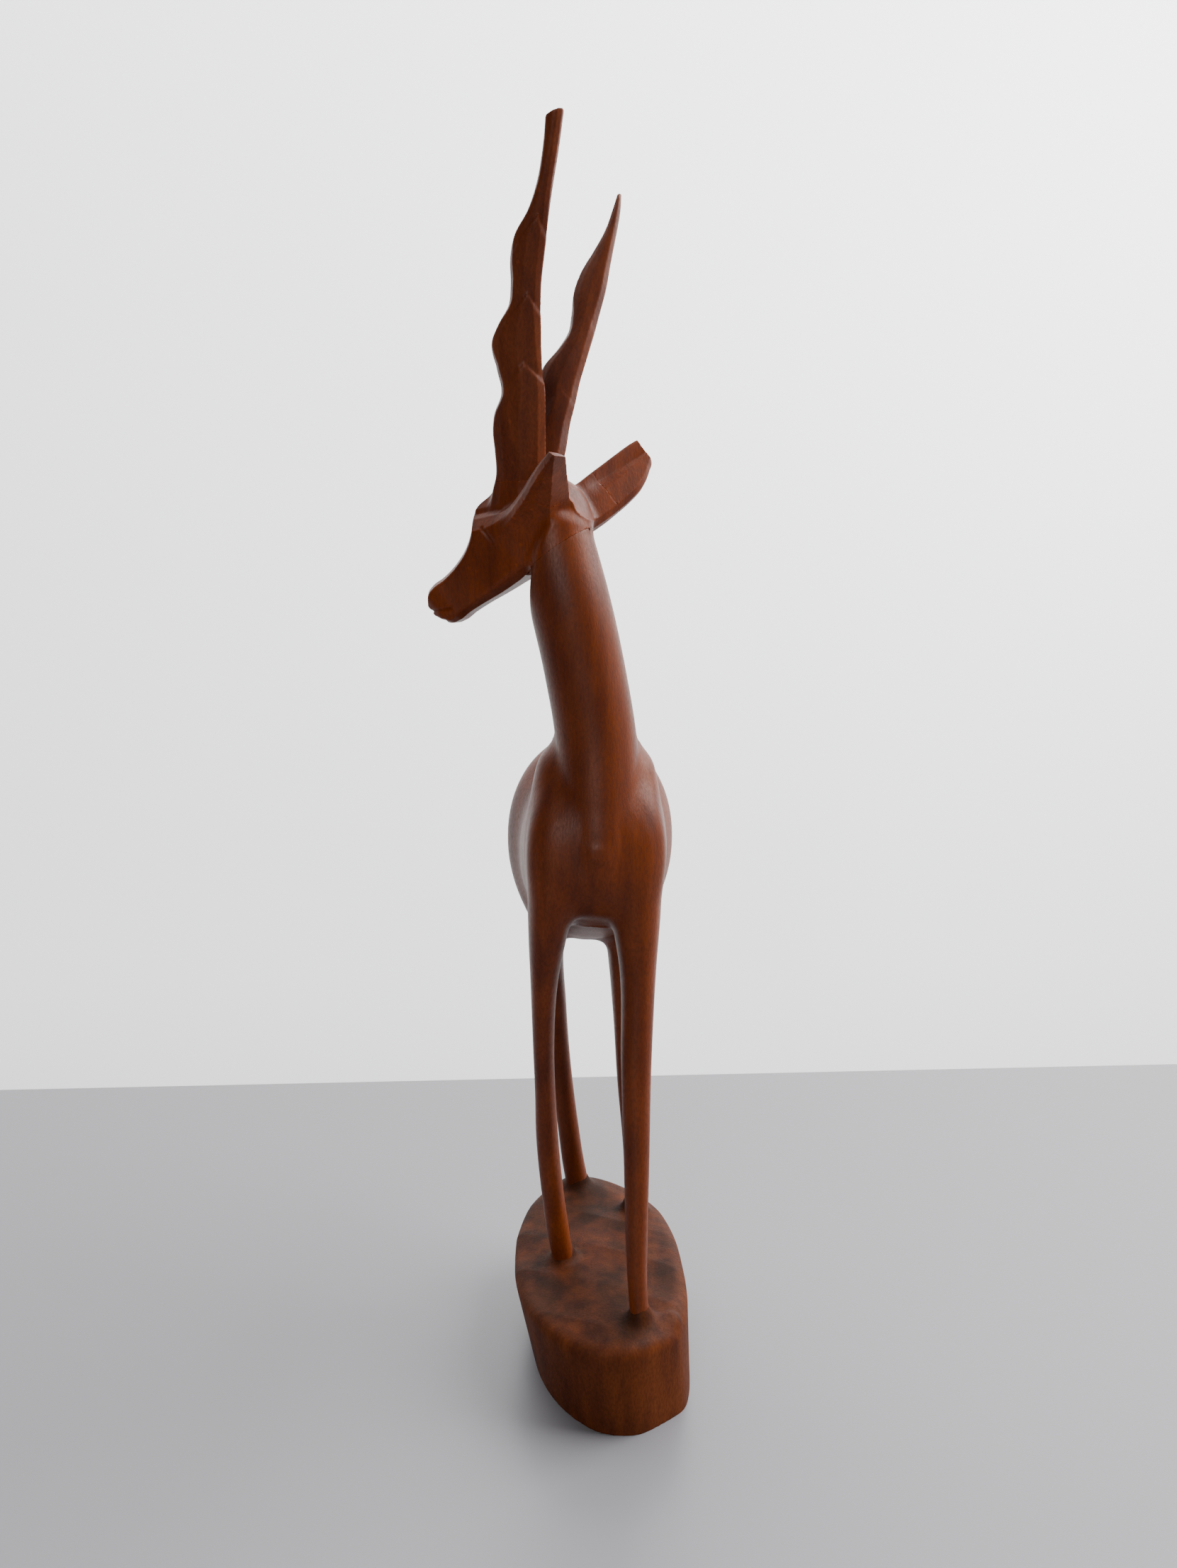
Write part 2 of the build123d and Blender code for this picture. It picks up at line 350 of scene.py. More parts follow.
# Legs, from the plinth up: Z, middle X and Y, half width and half depth
LEGS = {
    "front_left": smooth_table([
        (30, 11.0, -40.6, 3.7, 4.0),
        (35, 10.8, -40.3, 3.3, 3.8),
        (41, 10.2, -39.8, 3.1, 3.7),
        (49, 9.8, -39.2, 3.2, 3.9),
        (61, 9.6, -38.2, 3.5, 4.2),
        (85, 9.6, -36.3, 4.05, 4.6),
        (120, 9.5, -33.6, 4.85, 5.6),
        (150, 10.0, -31.2, 5.75, 7.6),
        (172, 9.0, -31.0, 8.1, 10.5),
        (190, 8.4, -29.5, 9.0, 13.0),
        (203, 7.8, -27.5, 8.8, 12.0),
        (211, 7.6, -26.0, 8.4, 10.0),
        (217, 7.3, -25.0, 7.0, 8.0),
        (222, 6.8, -24.5, 3.8, 4.6),
    ]),
    "front_right": smooth_table([
        (30, -12.4, -4.8, 4.4, 4.8),
        (35, -13.0, -5.5, 4.0, 4.4),
        (42, -14.3, -6.8, 3.8, 4.2),
        (49, -15.3, -8.2, 3.9, 4.2),
        (61, -16.7, -10.6, 3.8, 4.3),
        (88, -18.9, -15.7, 3.7, 4.7),
        (103, -19.4, -18.8, 3.4, 4.9),
        (121, -19.9, -22.3, 3.45, 5.4),
        (148, -19.5, -27.7, 4.6, 7.2),
        (160, -18.6, -29.5, 5.9, 9.0),
        (178, -16.6, -31.0, 8.0, 11.5),
        (194, -14.9, -29.5, 8.9, 13.0),
        (205, -14.2, -27.5, 8.9, 11.5),
        (212, -13.8, -26.0, 8.5, 10.0),
        (218, -13.2, -25.0, 7.0, 8.0),
        (223, -12.4, -24.5, 3.8, 4.8),
    ]),
    "hind_left": smooth_table([
        (30, 15.3, 28.0, 4.2, 4.8),
        (35, 15.2, 28.5, 3.8, 4.4),
        (46, 15.0, 29.2, 3.6, 4.3),
        (60, 14.6, 30.5, 3.9, 4.6),
        (83, 13.1, 33.6, 4.3, 5.4),
        (112, 11.8, 35.0, 4.8, 7.0),
        (140, 10.4, 34.0, 6.2, 10.5),
        (160, 10.2, 34.0, 9.5, 14.5),
        (182, 9.0, 34.0, 11.0, 14.0),
    ]),
    "hind_right": smooth_table([
        (30, -5.2, 44.4, 5.0, 5.0),
        (35, -5.9, 44.7, 4.6, 4.7),
        (46, -7.8, 45.4, 4.3, 4.5),
        (60, -9.6, 45.6, 4.1, 4.6),
        (83, -12.5, 46.3, 4.3, 5.2),
        (112, -15.0, 43.5, 4.7, 6.6),
        (138, -16.5, 40.5, 5.4, 9.5),
        (160, -15.6, 38.5, 9.0, 13.5),
        (182, -13.0, 37.0, 11.0, 13.5),
    ]),
}
LEG_FILLETS = {"front_left": 6.0, "front_right": 6.0, "hind_left": 7.0, "hind_right": 7.0}
NECK_FILLET = 4.0
LEG_SQUARENESS = 2.25
TRUNK_SQUARENESS = 2.1
ROUND = 2.0


def limb_field(points, table, squareness):
    """Leg or neck: level ovals stacked along Z."""
    up = points[:, 2]
    middle_x, middle_y, half_width, half_depth = read(table, up)
    side = oval(points[:, 0] - middle_x, points[:, 1] - middle_y, half_width, half_depth, squareness)
    return np.maximum(np.maximum(side, table[0, 0] - up), up - table[-1, 0])


def trunk_field(points):
    """Chest, ribs and rump: upright ovals stacked along Y."""
    place = points[:, 1]
    middle_x, belly, back, half_width = read(TRUNK, place)
    across, rise = points[:, 0] - middle_x, points[:, 2] - (belly + back) / 2
    side = oval(across, rise, half_width, (back - belly) / 2, TRUNK_SQUARENESS)
    return np.maximum(np.maximum(side, TRUNK[0, 0] - place), place - TRUNK[-1, 0])


def neck_field(points):
    """The upright neck, nearly a sanded cylinder."""
    return limb_field(points, NECK, ROUND)


NECK_SEAT_POINT = head_point(NECK_SEAT[0], 0, NECK_SEAT[1])
NECK_SEAT_FACING = head_direction(sin(NECK_SEAT_TILT), 0, cos(NECK_SEAT_TILT))


def body_field(points):
    """The whole body, with feet let into the plinth and a slanting seat for the head."""
    form = trunk_field(points)
    for name, table in LEGS.items():
        form = join(form, limb_field(points, table, LEG_SQUARENESS), LEG_FILLETS[name])
    form = join(form, neck_field(points), NECK_FILLET)
    form = join_head(points, form)
    form = np.maximum(form, flat_cut(points, NECK_SEAT_POINT, NECK_SEAT_FACING))
    return np.maximum(form, PLINTH_TOP - FOOT_SINK - points[:, 2])


# ---------------------------------------------------------------- head

# Skull and muzzle: distance along the falling axis, top, bottom and half width
SKULL = smooth_table([
    (-6, 10.0, 7.0, 6.5),
    (2, 15.2, 10.0, 9.6),
    (8, 17.6, 10.6, 10.0),
    (12.5, 16.6, 10.0, 9.7),
    (17.9, 16.1, 9.1, 9.2),
    (20.7, 14.3, 8.7, 8.5),
    (23.4, 11.8, 8.4, 7.8),
    (27.2, 9.4, 7.9, 7.0),
    (32.5, 7.6, 7.0, 6.3),
    (38.9, 6.9, 6.2, 6.0),
    (43.0, 7.2, 6.0, 5.9),
    (46.0, 6.4, 4.6, 5.3),
    (48.2, 4.2, 0.6, 3.8),
])
# Long knife facets around the muzzle: direction from sideways towards up, in degrees,
# and the share of the square corner that is kept
MUZZLE_FACETS = [(28, 0.90), (62, 0.86), (-30, 0.88), (-64, 0.84)]

# Flat between brow and temple: a point on it and its direction, forward, sideways and up
TEMPLE_POINT = (18.0, 8.3, 290.0)
TEMPLE_FACING = (0.30, 0.80, 0.52)

# Knife strokes as runs between points, forward and up, each with its half width and depth
MOUTH_CUTS = [((41.6, 262.4), (34.0, 263.6)), ((37.6, 259.4), (33.2, 261.6))]
MOUTH_KNIFE = (0.8, 0.55)
EYE_CUT = ((22.2, 286.6), (18.9, 282.9))
EYE_KNIFE = (1.0, 0.45)
BROW_CUT = [(25.4, 291.0), (17.0, 292.4), (9.5, 297.6)]
BROW_KNIFE = (1.5, 0.45)
INNER_FACE = 3.0        # half width within which the eye and brow strokes leave the head alone
OUT_OF_REACH = 9.0

CRANIUM_MIDDLE = np.array([4.6, 0.0, 289.5])
CRANIUM_RADII = np.array([12.8, 9.6, 12.3])


def skull_field(points):
    """Skull and muzzle from long flat cuts along the falling axis, with mouth, eyes and brow."""
    forward, left, up = in_head(points)
    away, rise = forward - HEAD_AXIS_START[0], up - HEAD_AXIS_START[1]
    place = away * cos(HEAD_FALL) - rise * sin(HEAD_FALL)
    height = away * sin(HEAD_FALL) + rise * cos(HEAD_FALL)
    top, bottom, half_width = read(SKULL, place)
    side = np.abs(left)
    form = np.maximum(np.maximum(height - top, -bottom - height), side - half_width)
    for angle, share in MUZZLE_FACETS:
        outward, upward = cos(radians(angle)), sin(radians(angle))
        corner = half_width * outward + np.where(upward > 0, top, bottom) * abs(upward)
        form = np.maximum(form, side * outward + height * upward - share * corner)
    form = np.maximum(form, np.maximum(place - SKULL[-1, 0], SKULL[0, 0] - place))
    temple = sum((reach - through) * facing for reach, through, facing
                 in zip((forward, side, up), TEMPLE_POINT, TEMPLE_FACING))
    form = np.maximum(form, temple)
    for start, end in MOUTH_CUTS:
        form = groove(form, distance_to_run(forward, up, start, end), *MOUTH_KNIFE)
    spared = np.where(side > INNER_FACE, 0.0, OUT_OF_REACH)
    form = groove(form, distance_to_run(forward, up, *EYE_CUT) + spared, *EYE_KNIFE)
    for start, end in zip(BROW_CUT, BROW_CUT[1:]):
        form = groove(form, distance_to_run(forward, up, start, end) + spared, *BROW_KNIFE)
    return form


def cranium_field(points):
    """Rounded back of the skull that carries the horns and ears."""
    return egg(np.column_stack(in_head(points)), CRANIUM_MIDDLE, CRANIUM_RADII)


# ---------------------------------------------------------------- horns

# Horns, from the root up: Z, front edge, back edge, half thickness and how deep the front is scooped
LEFT_HORN = smooth_table([
    (286, 20.0, 5.5, 3.4, 0.0),
    (296.5, 20.3, 4.4, 3.5, 0.0),
    (302, 18.4, 3.6, 3.5, 0.0),
    (308, 18.0, 3.0, 3.5, 0.0),
    (314, 17.9, 2.4, 3.5, 0.0),
    (318, 17.2, 2.0, 3.4, 0.4),
    (323.5, 15.1, 1.6, 3.2, 1.5),
    (330, 15.5, 1.5, 3.2, 1.3),
    (337, 15.3, 1.2, 3.2, 0.0),
    (341, 13.0, 1.0, 3.1, 0.2),
    (345.5, 10.0, 0.6, 3.0, 1.0),
    (350, 9.1, 0.0, 2.9, 1.3),
    (357, 8.0, -1.6, 2.8, 0.8),
    (362, 5.8, -2.8, 2.7, 0.0),
    (367, 1.9, -3.9, 2.5, 0.2),
    (373, -1.2, -5.5, 2.3, 0.4),
    (380, -3.6, -7.6, 2.1, 0.2),
    (390, -5.8, -10.3, 1.9, 0.0),
])
RIGHT_HORN = smooth_table([
    (286, 19.6, 5.0, 3.4, 0.0),
    (296.5, 20.0, 4.0, 3.5, 0.0),
    (302, 18.2, 3.2, 3.5, 0.0),
    (310, 17.4, 1.9, 3.5, 0.0),
    (318, 15.2, 1.2, 3.3, 0.6),
    (324, 12.8, 0.1, 3.1, 1.4),
    (330, 12.6, -0.8, 3.1, 1.0),
    (335, 10.9, -1.9, 3.0, 0.2),
    (340.6, 6.7, -3.1, 2.9, 0.6),
    (345, 4.5, -4.1, 2.8, 1.1),
    (350, 3.7, -5.1, 2.7, 0.8),
    (357.5, 3.1, -6.6, 2.5, 0.0),
    (363.5, 1.2, -7.2, 2.2, 0.0),
    (369, -1.8, -7.8, 1.9, 0.2),
    (375, -4.8, -8.5, 1.6, 0.3),
    (382, -7.0, -9.1, 1.2, 0.1),
    (386.5, -8.0, -9.0, 0.7, 0.0),
])
# Cut across each horn's end: its height at TIP_PLACE and its slant
LEFT_HORN_TIP = (388.2, -0.28)
RIGHT_HORN_TIP = (386.4, 0.0)
TIP_PLACE = -8.0
TIP_ROUNDING = 0.5
# Knife steps across each horn's faces: how high each starts, how deep it bites
# and how much it turns the face
LEFT_HORN_STEPS = ((322.0, 339.0, 357.0), 0.45, 0.08)
RIGHT_HORN_STEPS = ((319.0, 341.0), 0.08, 0.03)
STEP_ARCH = 8.0         # rise of a step's arched edge
STEP_LIP = 1.4          # height over which a step bites in
STEP_FADE = 17.0        # height over which it runs out again
STEP_TURN_LIMIT = 6.0


def horn_field(points, table, side, tip, steps):
    """Blade of a horn: a thin scooped front edge, two broad faces and a narrow faceted back."""
    forward, left, up = in_head(points)
    front, back, half_thick, scoop = read(table, up)
    along = forward - (front + back) / 2
    spread = HORN_SPREAD + HORN_SPLAY * (up - HORN_SEAT)
    outward = left * side - spread
    half = (front - back) / 2
    arch = STEP_ARCH * (1 - np.abs(along / half + 0.35) / 1.1)
    heights, bite, turn = steps
    for height in heights:
        above = up - height - arch
        fade = np.clip(above / STEP_LIP, 0, 1) * (1 - np.clip(above / STEP_FADE, 0, 1))
        half_thick = half_thick - fade * (bite - turn * np.clip(along, -STEP_TURN_LIMIT, STEP_TURN_LIMIT))
    form = np.maximum(along - half, -along - half)
    edge = 0.9 - 0.25 * scoop
    # Long cuts round each side, from the front edge to the back: direction in degrees and reach
    cuts = [
        (34, half * cos(radians(34)) + edge * sin(radians(34)) - 0.5 * scoop),
        (66, half * cos(radians(66)) * 0.55 + half_thick * 0.76),
        (81, half_thick * 0.99),
        (106, half_thick * 0.97 + half * 0.05),
        (142, half * sin(radians(52)) * 0.80 + half_thick * 0.36),
    ]
    for way in (1, -1):
        for angle, reach in cuts:
            cut = along * cos(radians(angle)) + outward * way * sin(radians(angle)) - reach
            form = np.maximum(form, cut)
    height, slant = tip
    form = keep_both(form, up - height - slant * (forward - TIP_PLACE), TIP_ROUNDING)
    return np.maximum(form, table[0, 0] - up)


# ---------------------------------------------------------------- ears

def ear_frame(root, tip, wide):
    """Origin on an ear's face, and its directions: along it, across its face and out of its face."""
    start = head_point(*root)
    along = head_point(*tip) - start
    length = np.linalg.norm(along)
    along = along / length
    across = FORWARD * wide[0] + LEFTWARD * wide[1] + UPWARD * wide[2]
    across = across - along * (across @ along)
    across = across / np.linalg.norm(across)
    return start, along, across, np.cross(along, across), length


def seat_between(root, tip, share):
    """Flat seat across an ear's peg: a point on it and the direction the ear leaves in."""
    start, end = head_point(*root), head_point(*tip)
    return start + (end - start) * share, (end - start) / np.linalg.norm(end - start)


# Edges, one row for each distance along the ear: front or upper edge, rear or lower edge, thickness,
# depth of the valley in its face, where the valley runs and how wide its rear or lower bank is.
# Lean: how far the two edges lean back, in degrees. Face: how far the face stands out from the frame.
# Rims: the pared front or upper rim as a slope over the ear, a slope out of it and a depth, then the
# depth of the other rim. Tip lean: slope of the cut across the end.
LEFT_EAR = {
    "frame": ear_frame((8.0, 10.5, 288.7), (-5.0, 25.0, 305.7), (0.857, 0.41, 0.31)),
    "edges": smooth_table([
        (-9, 7.0, -9.5, 7.5, 0.0, -1.0, 7.0),
        (-3, 5.7, -8.0, 7.2, 0.3, -1.0, 6.0),
        (4, 4.3, -6.0, 6.8, 0.8, -0.8, 5.0),
        (8, 3.6, -4.9, 6.4, 0.9, -0.6, 4.0),
        (14, 3.0, -3.3, 5.6, 0.8, -0.2, 3.0),
        (19, 2.3, -1.9, 4.8, 0.5, 0.0, 1.9),
        (26, 0.8, -0.3, 3.4, 0.1, 0.2, 0.6),
    ]),
    "lean": (6, 47),
    "face": 1.0,
    "rims": (0.85, 0.53, 0.75, 0.1),
    "tip_lean": 0.5,
    "seat": seat_between((7.0, 6.0, 287.0), (-4.8, 25.0, 306.0), 0.38),
}
RIGHT_EAR = {
    "frame": ear_frame((-2.5, -8.0, 294.0), (-18.3, -24.0, 309.0), (0.45, 0.0, 0.89)),
    "edges": smooth_table([
        (-7, 5.0, -7.2, 5.8, 0.0, 2.4, 4.0),
        (4, 5.1, -7.9, 5.0, 0.0, 2.3, 3.8),
        (8, 5.2, -7.9, 4.5, 0.7, 2.1, 3.4),
        (14, 5.25, -7.6, 4.1, 1.1, 1.6, 2.6),
        (19, 5.3, -6.8, 3.7, 1.1, 1.3, 1.8),
        (25, 5.2, -4.0, 3.1, 0.8, 0.9, 1.2),
        (27.4, 4.9, -2.2, 2.7, 0.5, 0.8, 0.8),
        (29, 4.3, 0.8, 2.3, 0.0, 0.8, 0.6),
    ]),
    "lean": (8, 16),
    "face": 2.7,
    "rims": (0.6, 0.8, 0.2, 0.75),
    "tip_lean": -0.3,
    "seat": seat_between((-2.5, -8.0, 294.0), (-18.3, -23.5, 309.2), 0.32),
}
EARS = (LEFT_EAR, RIGHT_EAR)
RIM_BEVEL = 0.7                 # a rim pared at 45 degrees
BACK_BEVEL = (0.5, 0.87)        # back corners taken off at 30 degrees
BACK_SHARE = 0.55               # of the thickness, left at the back corners


def ear_field(points, ear):
    """Leaf-shaped ear: a slab with leaning edges, a shallow valley down its face and a pared rim."""
    start, along, across, outward, length = ear["frame"]
    away = points - start
    place, over, depth = away @ along, away @ across, away @ outward - ear["face"]
    upper, lower, thick, hollow, valley, bank = read(ear["edges"], place)
    upper_lean, lower_lean = [radians(angle) for angle in ear["lean"]]
    form = np.maximum((over - upper) * cos(upper_lean) + depth * sin(upper_lean), -depth - thick)
    form = np.maximum(form, (lower - over) * cos(lower_lean) + depth * sin(lower_lean))
    rise = np.maximum((over - valley) / np.maximum(upper - valley, 0.5), (valley - over) / bank)
    form = np.maximum(form, depth + hollow * np.clip(1 - rise, 0, 1))
    flat, steep, upper_rim, lower_rim = ear["rims"]
    form = np.maximum(form, (over - upper) * flat + depth * steep + upper_rim)
    form = np.maximum(form, (lower - over) * RIM_BEVEL + depth * RIM_BEVEL + lower_rim)
    side, back = BACK_BEVEL
    lower_share = BACK_SHARE + side * tan(lower_lean)
    form = np.maximum(form, (over - upper) * side - depth * back - thick * BACK_SHARE)
    form = np.maximum(form, (lower - over) * side - depth * back - thick * lower_share)
    tip = (place - length - ear["tip_lean"] * depth) / np.hypot(1, ear["tip_lean"])
    return np.maximum(form, np.maximum(tip, ear["edges"][0, 0] - place))


# ---------------------------------------------------------------- head assembly

EAR_FILLET = 2.6
HORN_FILLET = 2.4
SKULL_FILLET = 3.0
JAW_FILLET = 2.8
SEAT_MARGIN = 0.9       # how much of the fillet round its root goes with a horn or an ear
NECK_ROUNDING = 2.5
DOME_TOP = 290.0
DOME_PLACE = -2.6
DOME_FALL = (0.16, 0.03)        # how steeply the dome falls ahead of its top and behind it
HEAD_REACH = 255.0              # height below which the head plays no part
HORNS = (
    (LEFT_HORN, 1, LEFT_HORN_TIP, LEFT_HORN_STEPS),
    (RIGHT_HORN, -1, RIGHT_HORN_TIP, RIGHT_HORN_STEPS),
)


def head_form(points):
    """Everything above the neck as one carving, before it is parted at its seats."""
    form = join(skull_field(points), cranium_field(points), SKULL_FILLET)
    for horn in HORNS:
        form = join(form, horn_field(points, *horn), HORN_FILLET)
    for ear in EARS:
        form = join(form, ear_field(points, ear), EAR_FILLET)
    return form


def neck_dome(points):
    """Rounded top of the neck, an arch seen under the ear."""
    forward, left, up = in_head(points)
    ahead = np.maximum(forward - DOME_PLACE, 0)
    behind = np.minimum(forward - DOME_PLACE, 0)
    drop = DOME_FALL[0] * ahead ** 2 + DOME_FALL[1] * behind ** 2
    return (up - DOME_TOP + drop) / np.sqrt(1 + (2 * DOME_FALL[0] * ahead) ** 2)


def domed_neck(points):
    """Neck with its rounded top."""
    return keep_both(neck_field(points), neck_dome(points), NECK_ROUNDING)


def join_head(points, form):
    """The body's form with the head grown onto its neck; only worked out near the head."""
    near = points[:, 2] > HEAD_REACH
    if near.any():
        close = points[near]
        domed = keep_both(form[near], neck_dome(close), NECK_ROUNDING)
        grown = join(domed, head_form(close), JAW_FILLET)
        form = form.copy()
        form[near] = np.maximum(grown, neck_field(close) - JAW_FILLET)
    return form


def top_form(points):
    """Head, horns, ears and the top of the neck as one form."""
    return join(domed_neck(points), head_form(points), JAW_FILLET)


def ear_part(points, ear):
    """Region of an ear's own wood, outward of its seat."""
    return np.maximum(-flat_cut(points, *ear["seat"]), ear_field(points, ear) - SEAT_MARGIN)


def horn_part(points, horn):
    """Region of a horn's own wood, above its seat."""
    region = np.maximum(HORN_SEAT - points[:, 2], horn_field(points, *horn) - SEAT_MARGIN)
    for ear in EARS:
        region = np.maximum(region, -ear_part(points, ear))
    return region


def head_field(points):
    """The head alone: the top form without its horns, its ears and the neck below the seat."""
    form = np.maximum(top_form(points), -flat_cut(points, NECK_SEAT_POINT, NECK_SEAT_FACING))
    for horn in HORNS:
        form = np.maximum(form, -horn_part(points, horn))
    for ear in EARS:
        form = np.maximum(form, -ear_part(points, ear))
    return form


def ear_piece_field(points, ear):
    """An ear alone."""
    return np.maximum(top_form(points), ear_part(points, ear))


def horn_piece_field(points, horn):
    """A horn alone."""
    return np.maximum(top_form(points), horn_part(points, horn))


# ---------------------------------------------------------------- plinth

# Half width and half length of the oval at the table, and how much each has grown at the top
PLINTH_HALF_WIDTH = (27.4, 3.2)
PLINTH_HALF_LENGTH = (50.8, 4.0)
PLINTH_MIDDLE = (3.1, -4.3)     # middle across at the table, and how far it leans over by the top
PLINTH_PULL = 3.6               # how far the front swings to the left at the table
FLAT_THROUGH = (10.5, -50.9)    # flat sawn off the front left, at the table
FLAT_FACING = (0.56, -0.83)
FLAT_LEAN = 2.8
FLAT_ROUNDING = 2.0
RIM_ROUNDING = 5.0
DOME_RISE = 0.9
DOME_DROP = 2.3
DOME_HALF = (29.0, 54.0)
GOUGE_DEPTH = 0.8
FOOT_MOUND_TOP = 39.5
FOOT_MOUND_BOTTOM = 28.0
FOOT_FILLET = 2.5
RIB_RUN = ((13.0, -41.5), (21.0, -38.5))
RIB_MIDDLE, RIB_RADIUS, RIB_FILLET = 32.2, 2.2, 3.5


def plinth_field(points):
    """Domed oval block: slanted side, squarer right side, softened rim and gouged, uneven top."""
    across, along, up = points[:, 0], points[:, 1], points[:, 2]
    rise = np.clip(up / PLINTH_TOP, 0.0, 1.05)
    pull = PLINTH_PULL * np.clip(-along / 52.0, 0, 1) ** 2 * (1 - 0.5 * rise)
    middle_x = PLINTH_MIDDLE[0] + PLINTH_MIDDLE[1] * rise + pull
    squareness = 2.3 + 0.35 * np.clip(across / 20.0, -0.5, 1.0)
    half_width = PLINTH_HALF_WIDTH[0] + PLINTH_HALF_WIDTH[1] * rise
    half_length = PLINTH_HALF_LENGTH[0] + PLINTH_HALF_LENGTH[1] * rise
    side = oval(across - middle_x, along, half_width, half_length, squareness)
    beside, ahead = across - FLAT_THROUGH[0], along - FLAT_THROUGH[1] + FLAT_LEAN * rise
    flat = beside * FLAT_FACING[0] + ahead * FLAT_FACING[1]
    side = keep_both(side, flat, FLAT_ROUNDING)
    strokes = np.abs(np.sin((along + 0.45 * across) / 7.0))
    gouges = strokes * (0.55 + 0.3 * np.sin(across / 6.0 + along / 17.0))
    far_tilt = 0.075 * (across + 5.0) * np.clip(along / 40.0, 0, 1.2)
    far_mound = 2.6 * np.exp(-((across + 4.0) ** 2 + (along - 47.0) ** 2) / 150.0)
    fall = (across / DOME_HALF[0]) ** 2 + (along / DOME_HALF[1]) ** 2
    dome = PLINTH_TOP + DOME_RISE - DOME_DROP * fall - GOUGE_DEPTH * gouges
    form = keep_both(side, up - dome + far_tilt - far_mound, RIM_ROUNDING)
    for table in LEGS.values():
        foot = read(table, np.array([PLINTH_TOP]))
        foot_x, foot_y, half_foot, deep_foot = [column[0] for column in foot]
        spread = np.clip((39.0 - up) * 0.42 - 0.4, -0.6, 3.5)
        mound = oval(across - foot_x, along - foot_y, half_foot + spread, deep_foot + spread)
        mound = np.maximum(np.maximum(mound, up - FOOT_MOUND_TOP), FOOT_MOUND_BOTTOM - up)
        form = join(form, mound, FOOT_FILLET)
    rib = np.hypot(distance_to_run(across, along, *RIB_RUN), up - RIB_MIDDLE) - RIB_RADIUS
    form = join(form, rib, RIB_FILLET)
    return np.maximum(form, -up)


# ---------------------------------------------------------------- pieces

# Each piece's field, the lowest and highest corners of the block it is carved from, and the grid's step.
# The head, horns and ears have the finest grids because their knife edges are the crispest.
body = make_piece("carved_body", body_field, (-36, -54, 32), (33, 58, 292), 0.8)
head = make_piece("carved_head", head_field, (-68, -62, 248), (14, -2, 306), 0.36)
left_horn = make_piece("carved_left_horn", lambda p: horn_piece_field(p, HORNS[0]),
                       (-48, -84, 296), (14, -20, 393), 0.42)
right_horn = make_piece("carved_right_horn", lambda p: horn_piece_field(p, HORNS[1]),
                        (-48, -50, 296), (20, 12, 391), 0.42)
left_ear = make_piece("carved_left_ear", lambda p: ear_piece_field(p, LEFT_EAR),
                      (-44, -76, 268), (12, -30, 320), 0.34)
right_ear = make_piece("carved_right_ear", lambda p: ear_piece_field(p, RIGHT_EAR),
                       (-28, -48, 274), (26, 8, 326), 0.34)
plinth = make_piece("carved_plinth", plinth_field, (-34, -58, -2), (34, 58, 42), 0.7)


# ---------------------------------------------------------------- materials

def linear(hex_colour):
    """sRGB hex to linear RGBA."""
    channels = [int(hex_colour[i:i + 2], 16) / 255 for i in (0, 2, 4)]
    return [c / 12.92 if c <= 0.04045 else ((c + 0.055) / 1.055) ** 2.4 for c in channels] + [1.0]


def add_node(tree, kind, links=None, **settings):
    """Adds a node, sets its properties or inputs by name, and links sockets into it."""
    node = tree.nodes.new(kind)
    for key, value in settings.items():
        if hasattr(node, key):
            setattr(node, key, value)
        else:
            node.inputs[key.replace("_", " ")].default_value = value
    for key, socket in (links or {}).items():
        tree.links.new(socket, node.inputs[key])
    return node


# The whole figure is one reddish hardwood, sold as mahogany, with its grain running up the piece.
# Each pattern is a size across the grain and along it, in millimetres, and how finely it breaks up.
FIGURE = (4.0, 36.0, 4.0)       # darker and paler growth bands
PATCHES = (17.0, 26.0, 3.0)     # cloudy patches where the oil soaked in unevenly
PORES = (0.55, 1.6, 2.0)        # open pores, 0.2 mm wide in the wood and drawn coarser so that they show
DIRT = (13.0, 26.0, 4.0)        # mottled dirt that settled on the plinth
DIRT_TINT = "8f989c"
DIRT_FADE = 4                   # millimetres over which the dirt gives out down the sides
PORE_DEPTH = 0.2 * MM


